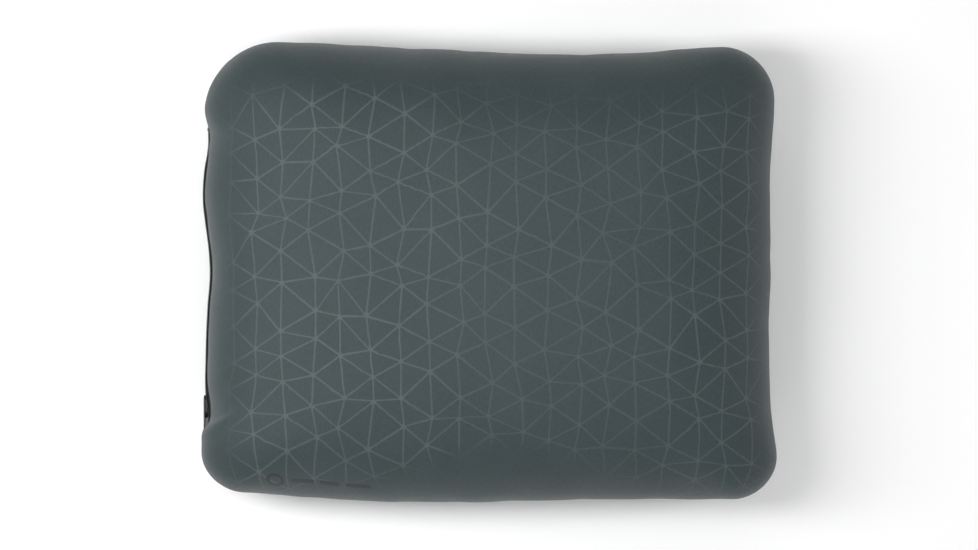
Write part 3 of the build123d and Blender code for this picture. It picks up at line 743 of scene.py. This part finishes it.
def build_cover():
    top, top_fabric, q = cloth_grid(crown_profile, CELLS_X, CELLS_Y)
    base, base_fabric, _ = cloth_grid(base_profile, CELLS_X, CELLS_Y)
    top[..., 2] += crown_relief(top[..., 0], top[..., 1])
    top_folds, base_folds = settle(top, base)
    top += top_folds * (1 - smooth(q, 0.93, 0.99))[..., None]
    away = np.linalg.norm(base - VALVE_SEAT, axis=-1)
    base += base_folds * ((1 - smooth(q, 0.93, 0.99)) * smooth(away, 30 * MM, 50 * MM))[..., None]
    base[..., 2] = np.maximum(base[..., 2], 0.05 * MM)
    top = rest_on(top, "bladder_top", 1.1 * MM)
    base = meet_port(base)
    upper = grid_mesh("cover_upper_cloth", roll_hem(top, q, CELLS_X))
    lower = grid_mesh("cover_lower_cloth", roll_hem(base, q, CELLS_X), flip=True)
    i, j = net_coordinates(top_fabric[..., 0] / MM, top_fabric[..., 1] / MM)
    add_attribute(upper, "net", np.stack([i, j, i * 0], -1), "FLOAT_VECTOR")
    add_attribute(upper, "print", print_strength(top[..., 0], top[..., 1]))
    for cloth, coordinates in ((upper, top_fabric), (lower, base_fabric)):
        add_attribute(cloth, "fabric", np.dstack([coordinates, coordinates[..., :1] * 0]), "FLOAT_VECTOR")
    cut_port(lower, PORT_RADIUS + 1.2 * MM)
    start = nearest_fabric(top, top_fabric, MARK_START)
    along = nearest_fabric(top, top_fabric, MARK_TOWARDS)
    lean = math.atan2(along[1] - start[1], along[0] - start[0])
    printed = knit_material(True, tuple(float(c) for c in start), lean)
    for cloth, node, material in ((upper, "cover_top", printed), (lower, "cover_bottom", KNIT_PLAIN)):
        add_modifier(cloth, "SUBSURF", levels=1, render_levels=1)
        add_modifier(cloth, "SOLIDIFY", thickness=CLOTH_THICK, offset=-1.0, use_quality_normals=True)
        cloth.data.materials.append(material)
        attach(cloth, ROOT)
        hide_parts(node)
    return upper, lower, top, base


def cut_port(cloth, radius):
    """Opens a round hole at the valve; the hole's edge is drawn onto a true circle."""
    bm = bmesh.new()
    bm.from_mesh(cloth.data)
    seat, out = Vector(VALVE_SEAT), Vector(VALVE_OUT)

    def across(point):
        offset = point - seat
        return offset - out * offset.dot(out), offset.dot(out)

    def inside(face):
        flat, along = across(face.calc_center_median())
        return flat.length < radius + 0.3 * MM and -10 * MM < along < 25 * MM

    bmesh.ops.delete(bm, geom=[f for f in bm.faces if inside(f)], context="FACES")
    for vertex in bm.verts:
        flat, along = across(vertex.co)
        if vertex.is_boundary and flat.length < radius + 6 * MM and -10 * MM < along < 25 * MM:
            vertex.co += flat * (radius / flat.length - 1)
    bmesh.ops.delete(bm, geom=[v for v in bm.verts if not v.link_faces], context="VERTS")
    bm.to_mesh(cloth.data)
    bm.free()


cover_upper, cover_lower, TOP_POS, BASE_POS = build_cover()


def press_seat(pos):
    """Presses the lower film flat where the valve is welded to it."""
    flat = pos.reshape(-1, 3)
    offset = flat - VALVE_SEAT
    along = offset @ VALVE_OUT
    distance = np.linalg.norm(offset - np.outer(along, VALVE_OUT), axis=1)
    limit = -0.1 * MM + np.maximum(0, distance - SEAT_RADIUS) * 0.9
    near = (distance < 45 * MM) & (along > -20 * MM) & (along > limit)
    flat[near] -= np.outer((along - limit)[near], VALVE_OUT)
    return flat.reshape(pos.shape)


def build_foam():
    """The cored foam slab, drawn in at its edges as the cover is."""
    mesh = nodes["foam_core"].data.copy()
    points = np.empty(len(mesh.vertices) * 3, np.float32)
    mesh.vertices.foreach_get("co", points)
    points = points.reshape(-1, 3)
    x, y = points[:, 0].copy(), points[:, 1].copy()
    points[:, 1] -= 4.5 * MM * smooth(y, 90 * MM, 155 * MM)
    points[:, 0] -= 2.5 * MM * smooth(x, 120 * MM, 198 * MM)
    points[:, 0] += 4.5 * MM * smooth(-x, 120 * MM, 198 * MM)
    mesh.vertices.foreach_set("co", points.ravel())
    mesh.update()
    foam = link_mesh("foam_slab", mesh)
    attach(foam, ROOT)
    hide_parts("foam_core")


def build_bladder():
    """The two bladder films: they lie just under the cloth and meet in a flat weld inside the seam."""
    weld_z = 47 * MM
    films = [(TOP_POS, "bladder_film_upper", "bladder_top", 1),
             (BASE_POS, "bladder_film_lower", "bladder_bottom", -1)]
    for cloth, name, node, side in films:
        pos = cloth[::2, ::2].copy()
        nx, ny = pos.shape[0] - 1, pos.shape[1] - 1
        q = np.maximum(np.abs(np.linspace(-1, 1, nx + 1))[:, None], np.abs(np.linspace(-1, 1, ny + 1))[None])
        rim = smooth(q, 0.55, 0.96)
        pos -= outward(pos) * ((1 - rim) * 1.7 * MM)[..., None]
        away = pos[..., :2] / np.maximum(np.linalg.norm(pos[..., :2], axis=-1, keepdims=True), 1e-9)
        pos[..., :2] -= away * (rim * 9.5 * MM)[..., None]
        weld = smooth(q, 0.975, 1.0)
        pos[..., 2] = pos[..., 2] * (1 - weld) + (weld_z + side * 0.5 * MM) * weld
        if side < 0:
            pos = press_seat(pos)
        film = grid_mesh(name, pos, flip=side < 0)
        add_modifier(film, "SOLIDIFY", thickness=0.3 * MM, offset=-1.0)
        add_modifier(film, "SUBSURF", levels=1, render_levels=1)
        film.data.materials.append(MATERIAL_OF_NODE[node])
        if side < 0:
            cut_port(film, NECK_HOLE)
        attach(film, ROOT)
        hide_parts(node)


build_bladder()
build_foam()


# ---- the zip's tapes, coils and topstitching ----
def zip_wave(y):
    return curve_through(ZIP_WAVE, np.asarray(y) / MM) * MM


def zip_place(y, up, out):
    """A point on the zip: its place along the pillow, then up the tape, then outwards."""
    y, up, out = np.broadcast_arrays(y, up, out)
    p = ZIP_MIDDLE + up[..., None] * ZIP_UP + out[..., None] * ZIP_OUT
    p[..., 1] = y
    p[..., 0] += zip_wave(y)
    return p


def tube(path, radius, sides=6):
    """Rings of a tube along a path, as vertices and quads with closed ends."""
    step = np.gradient(path, axis=0)
    step /= np.linalg.norm(step, axis=1, keepdims=True)
    reference = np.tile([0.0, 0.0, 1.0], (len(path), 1))
    reference[np.abs(step[:, 2]) > 0.9] = (1.0, 0, 0)
    side = np.cross(step, reference)
    side /= np.linalg.norm(side, axis=1, keepdims=True)
    other = np.cross(step, side)
    angle = np.arange(sides) * 2 * math.pi / sides
    ring = side[:, None] * np.cos(angle)[None, :, None] + other[:, None] * np.sin(angle)[None, :, None]
    verts = (path[:, None] + ring * np.reshape(radius, (-1, 1, 1))).reshape(-1, 3)
    faces = []
    for k in range(len(path) - 1):
        for m in range(sides):
            n = (m + 1) % sides
            faces.append((k * sides + m, k * sides + n, (k + 1) * sides + n, (k + 1) * sides + m))
    faces.append(tuple(range(sides))[::-1])
    faces.append(tuple((len(path) - 1) * sides + m for m in range(sides)))
    return verts, faces


def mesh_from_parts(name, parts, material, flat_shaded=False):
    verts, faces, base = [], [], 0
    for part_verts, part_faces in parts:
        verts.extend(np.asarray(part_verts).tolist())
        faces.extend(tuple(i + base for i in face) for face in part_faces)
        base += len(part_verts)
    mesh = bpy.data.meshes.new(name)
    mesh.from_pydata(verts, [], faces)
    mesh.validate()
    bm = bmesh.new()
    bm.from_mesh(mesh)
    bmesh.ops.recalc_face_normals(bm, faces=bm.faces)
    bm.to_mesh(mesh)
    bm.free()
    mesh.polygons.foreach_set("use_smooth", [not flat_shaded] * len(mesh.polygons))
    mesh.materials.append(material)
    return link_mesh(name, mesh)


# each tape's section from the coil inwards behind the hem, as (x, z) in mm
TAPE_SECTION = {
    "upper": [(-204.95, 39.95), (-204.75, 40.6), (-204.1, 41.6), (-202.9, 42.6), (-201.5, 43.7),
              (-200.6, 45.2), (-200.2, 47.2)],
    "lower": [(-204.75, 39.9), (-204.4, 39.2), (-203.2, 38.5), (-201.2, 38.1), (-199.2, 37.3),
              (-198.2, 35.6), (-197.0, 33.5), (-195.4, 31.0)],
}


def build_zip():
    """Two helical coils, each round a cord, and the woven tapes that carry them."""
    low_y, high_y = -122 * MM, 111 * MM
    pitch, wire = 1.25 * MM, 0.27 * MM
    for half, sign in (("upper", 1), ("lower", -1)):
        turns = int((high_y - low_y) / pitch)
        t = np.linspace(0, turns, turns * 14 + 1)
        phase = 2 * math.pi * t + (0 if sign > 0 else math.pi)
        up = sign * (0.92 + 1.02 * np.cos(phase) * sign) * MM
        out = (1.05 + 0.62 * np.sin(phase)) * MM
        coil = tube(zip_place(low_y + t * pitch, up, out), wire, 5)
        cord_y = np.linspace(low_y, high_y, 118)
        cord = tube(zip_place(cord_y, sign * 1.1 * MM, 0.95 * MM), 0.5 * MM, 8)
        piece = mesh_from_parts("zip_coil_teeth_" + half, [coil, cord], COIL_BLACK)
        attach(piece, ROOT)
        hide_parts("zip_coil_" + half)
        ys = np.linspace(low_y, high_y, 118)
        rows = np.array([[(x * MM + zip_wave(y), y, z * MM) for y in ys] for x, z in TAPE_SECTION[half]])
        tape = grid_mesh("zip_tape_woven_" + half, rows, flip=(sign > 0))
        add_modifier(tape, "SUBSURF", levels=1, render_levels=1)
        add_modifier(tape, "SOLIDIFY", thickness=0.4 * MM, offset=-1.0)
        tape.data.materials.append(TAPE_BLACK)
        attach(tape, ROOT)
        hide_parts("zip_tape_" + half)


def build_topstitch():
    """Short raised stitches along both hems of the zip, on the cloth's surface."""
    pitch, long, thick = 2.9 * MM, 2.0 * MM, 0.24 * MM
    inset = 2.6 * MM
    hems = [(cover_upper, "upper", ZIP_HEM_UPPER + inset), (cover_lower, "lower", ZIP_HEM_LOWER - inset)]
    for cloth, half, height in hems:
        tree = BVHTree.FromObject(cloth, bpy.context.evaluated_depsgraph_get())
        parts = []
        for start in np.arange(ZIP_LOW_Y + 4 * MM, ZIP_HIGH_Y - 4 * MM, pitch):
            path = []
            for share in (0, 0.15, 0.5, 0.85, 1.0):
                y = start + share * long
                hit = tree.ray_cast(Vector((-0.3, y, height)), Vector((1, 0, 0)))[0]
                sink = 0.22 * MM if share in (0, 1.0) else -0.08 * MM
                path.append((hit.x + sink, y, height))
            parts.append(tube(np.array(path), thick, 6))
        piece = mesh_from_parts("zip_topstitch_" + half, parts, THREAD_DARK)
        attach(piece, ROOT)


build_zip()
build_topstitch()


# ---- the valve's soft straps, drawn along bent paths ----
def valve_point(x, y, out):
    """A point in the valve's own frame: x towards -X, y up the flank, then outwards from the seat (mm)."""
    return VALVE_SEAT + x * MM * np.array([-1.0, 0, 0]) + y * MM * VALVE_UP + out * MM * VALVE_OUT


def soft_bar(path, across, half_wide, half_thick, closed=False, sides=20):
    """A bar with a rounded, flattened section along a path, as vertices and faces."""
    path = np.asarray(path, float)
    if closed:
        step = np.roll(path, -1, axis=0) - np.roll(path, 1, axis=0)
    else:
        step = np.gradient(path, axis=0)
    step /= np.linalg.norm(step, axis=1, keepdims=True)
    across = np.broadcast_to(across, path.shape)
    face = np.cross(step, across)
    face /= np.linalg.norm(face, axis=1, keepdims=True)
    angle = np.arange(sides) * 2 * math.pi / sides
    wide = np.sign(np.cos(angle)) * np.abs(np.cos(angle)) ** 0.35 * half_wide
    thick = np.sign(np.sin(angle)) * np.abs(np.sin(angle)) ** 0.6 * half_thick
    verts = path[:, None] + across[:, None] * wide[None, :, None] + face[:, None] * thick[None, :, None]
    verts = verts.reshape(-1, 3)
    count, faces = len(path), []
    for k in range(count if closed else count - 1):
        for m in range(sides):
            a, b = k * sides + m, k * sides + (m + 1) % sides
            c, d = ((k + 1) % count) * sides + (m + 1) % sides, ((k + 1) % count) * sides + m
            faces.append((a, b, c, d))
    if not closed:
        faces.append(tuple(range(sides))[::-1])
        faces.append(tuple((count - 1) * sides + m for m in range(sides)))
    return verts, faces


def bent_path(corners, count=40):
    """A smooth path through (across, out) corners given in mm, in the valve's frame."""
    corners = np.array(corners, float)
    run = np.concatenate([[0], np.cumsum(np.linalg.norm(np.diff(corners, axis=0), axis=1))])
    at = np.linspace(0, run[-1], count)
    sides = []
    for values in corners.T:
        curve = curve_through(list(zip(run, values)), at)
        sides.append(np.clip(curve, values.min(), values.max()))
    return np.column_stack(sides)


def build_straps():
    turn = np.arange(96) * 2 * math.pi / 96
    hoop = np.array([valve_point(14.05 * math.cos(t), 14.05 * math.sin(t), 5.1) for t in turn])
    ring = soft_bar(hoop, VALVE_OUT, 0.8 * MM, 0.92 * MM, closed=True, sides=16)
    rise = bent_path([(13.9, 4.75), (14.9, 4.75), (15.5, 5.2), (15.65, 6.2),
                      (15.6, 7.4), (15.5, 8.4), (15.0, 8.85), (13.9, 8.95)])
    riser = soft_bar([valve_point(0, y, out) for y, out in rise], np.array([1.0, 0, 0]), 4 * MM, 0.4 * MM)
    leash = mesh_from_parts("lid_leash_soft", [ring, riser], SHELL_TPU)
    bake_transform(leash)
    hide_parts("lid_leash")
    arm = bent_path([(12.7, 8.95), (14.0, 8.95), (14.9, 9.15), (15.2, 9.7),
                     (15.05, 10.3), (14.4, 10.55), (13.2, 10.5), (11.5, 10.5)])
    strap = soft_bar([valve_point(x, 0, out) for x, out in arm], VALVE_UP, 4 * MM, 0.36 * MM)
    strap = mesh_from_parts("outer_lid_strap_soft", [strap], SHELL_TPU)
    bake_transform(strap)
    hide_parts("outer_lid_strap")


build_straps()


# ---- the spring and the label: copies of their CAD parts, one carried with the inner lid and one moved in ----
def copy_of_node(node, name):
    piece = nodes[node].copy()
    piece.data = nodes[node].data.copy()
    piece.name = name
    bpy.context.scene.collection.objects.link(piece)
    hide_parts(node)
    return piece


def build_spring():
    """The valve's spring, carried with the inner lid. It stands on the spider."""
    spring = copy_of_node("valve_spring", "valve_spring_wire")
    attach(spring, "inner_lid")
    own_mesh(spring)


def build_label():
    """The care label, moved in so that it stays inside the visual cover, which is drawn in there."""
    label = copy_of_node("care_label", "care_label_cloth")
    label.location.x -= LABEL_SHIFT
    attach(label, ROOT)


build_spring()
build_label()


# ---- studio ----
def area_light(name, location, target, size, power, color=(1, 1, 1)):
    data = bpy.data.lights.new(name, "AREA")
    data.shape = "RECTANGLE"
    data.size, data.size_y = size
    data.energy = power
    data.color = color
    obj = bpy.data.objects.new(name, data)
    bpy.context.scene.collection.objects.link(obj)
    obj.location = location
    obj.rotation_euler = (Vector(target) - Vector(location)).to_track_quat("-Z", "Y").to_euler()
    return obj


def make_studio():
    world = bpy.data.worlds.new("studio")
    bpy.context.scene.world = world
    world.use_nodes = True
    background = world.node_tree.nodes["Background"]
    place = world.node_tree.nodes.new("ShaderNodeTexCoord")
    split = world.node_tree.nodes.new("ShaderNodeSeparateXYZ")
    dome = world.node_tree.nodes.new("ShaderNodeMapRange")
    world.node_tree.links.new(place.outputs["Generated"], split.inputs[0])
    world.node_tree.links.new(split.outputs["Z"], dome.inputs[0])
    world.node_tree.links.new(dome.outputs[0], background.inputs["Strength"])
    for socket, value in ((1, 0.0), (2, 0.9), (3, 0.12), (4, 0.33)):
        dome.inputs[socket].default_value = value
    background.inputs["Color"].default_value = (1, 1, 1, 1)
    area_light("overhead_left", (-0.66, 0.05, 1.0), (-0.08, 0, 0.05), (0.3, 0.9), 10)
    area_light("low_right", (1.6, 0, 1.4), (0.05, 0, 0.05), (0.5, 1.3), 11)
    area_light("rear_fill", (0, 1.9, 1.2), (0, 0, 0.05), (1.8, 0.6), 6)
    area_light("front_fill", (0, -1.9, 1.0), (0, 0, 0.05), (1.8, 0.6), 9)
    mesh = bpy.data.meshes.new("floor")
    mesh.from_pydata([(-6, -6, 0), (6, -6, 0), (6, 6, 0), (-6, 6, 0)], [], [(0, 1, 2, 3)])
    floor = link_mesh("floor", mesh)
    paper = Shader("floor_paper")
    paper.set(Base_Color=(0.95, 0.95, 0.95), Roughness=0.9,
              Emission_Color=(1, 1, 1, 1), Emission_Strength=0.1)
    floor.data.materials.append(paper.material)


def make_camera():
    """Straight above the pillow, far enough off that its sides hardly show."""
    distance = 3.6
    data = bpy.data.cameras.new("camera")
    camera = bpy.data.objects.new("camera", data)
    bpy.context.scene.collection.objects.link(camera)
    data.sensor_width = 36
    data.lens = 36 * distance / 0.7156
    camera.location = (-0.0002, -0.0019, WIDEST_Z + distance)
    camera.rotation_euler = (0, 0, 0)
    bpy.context.scene.camera = camera


make_studio()
make_camera()
bpy.context.scene.view_settings.view_transform = "Standard"
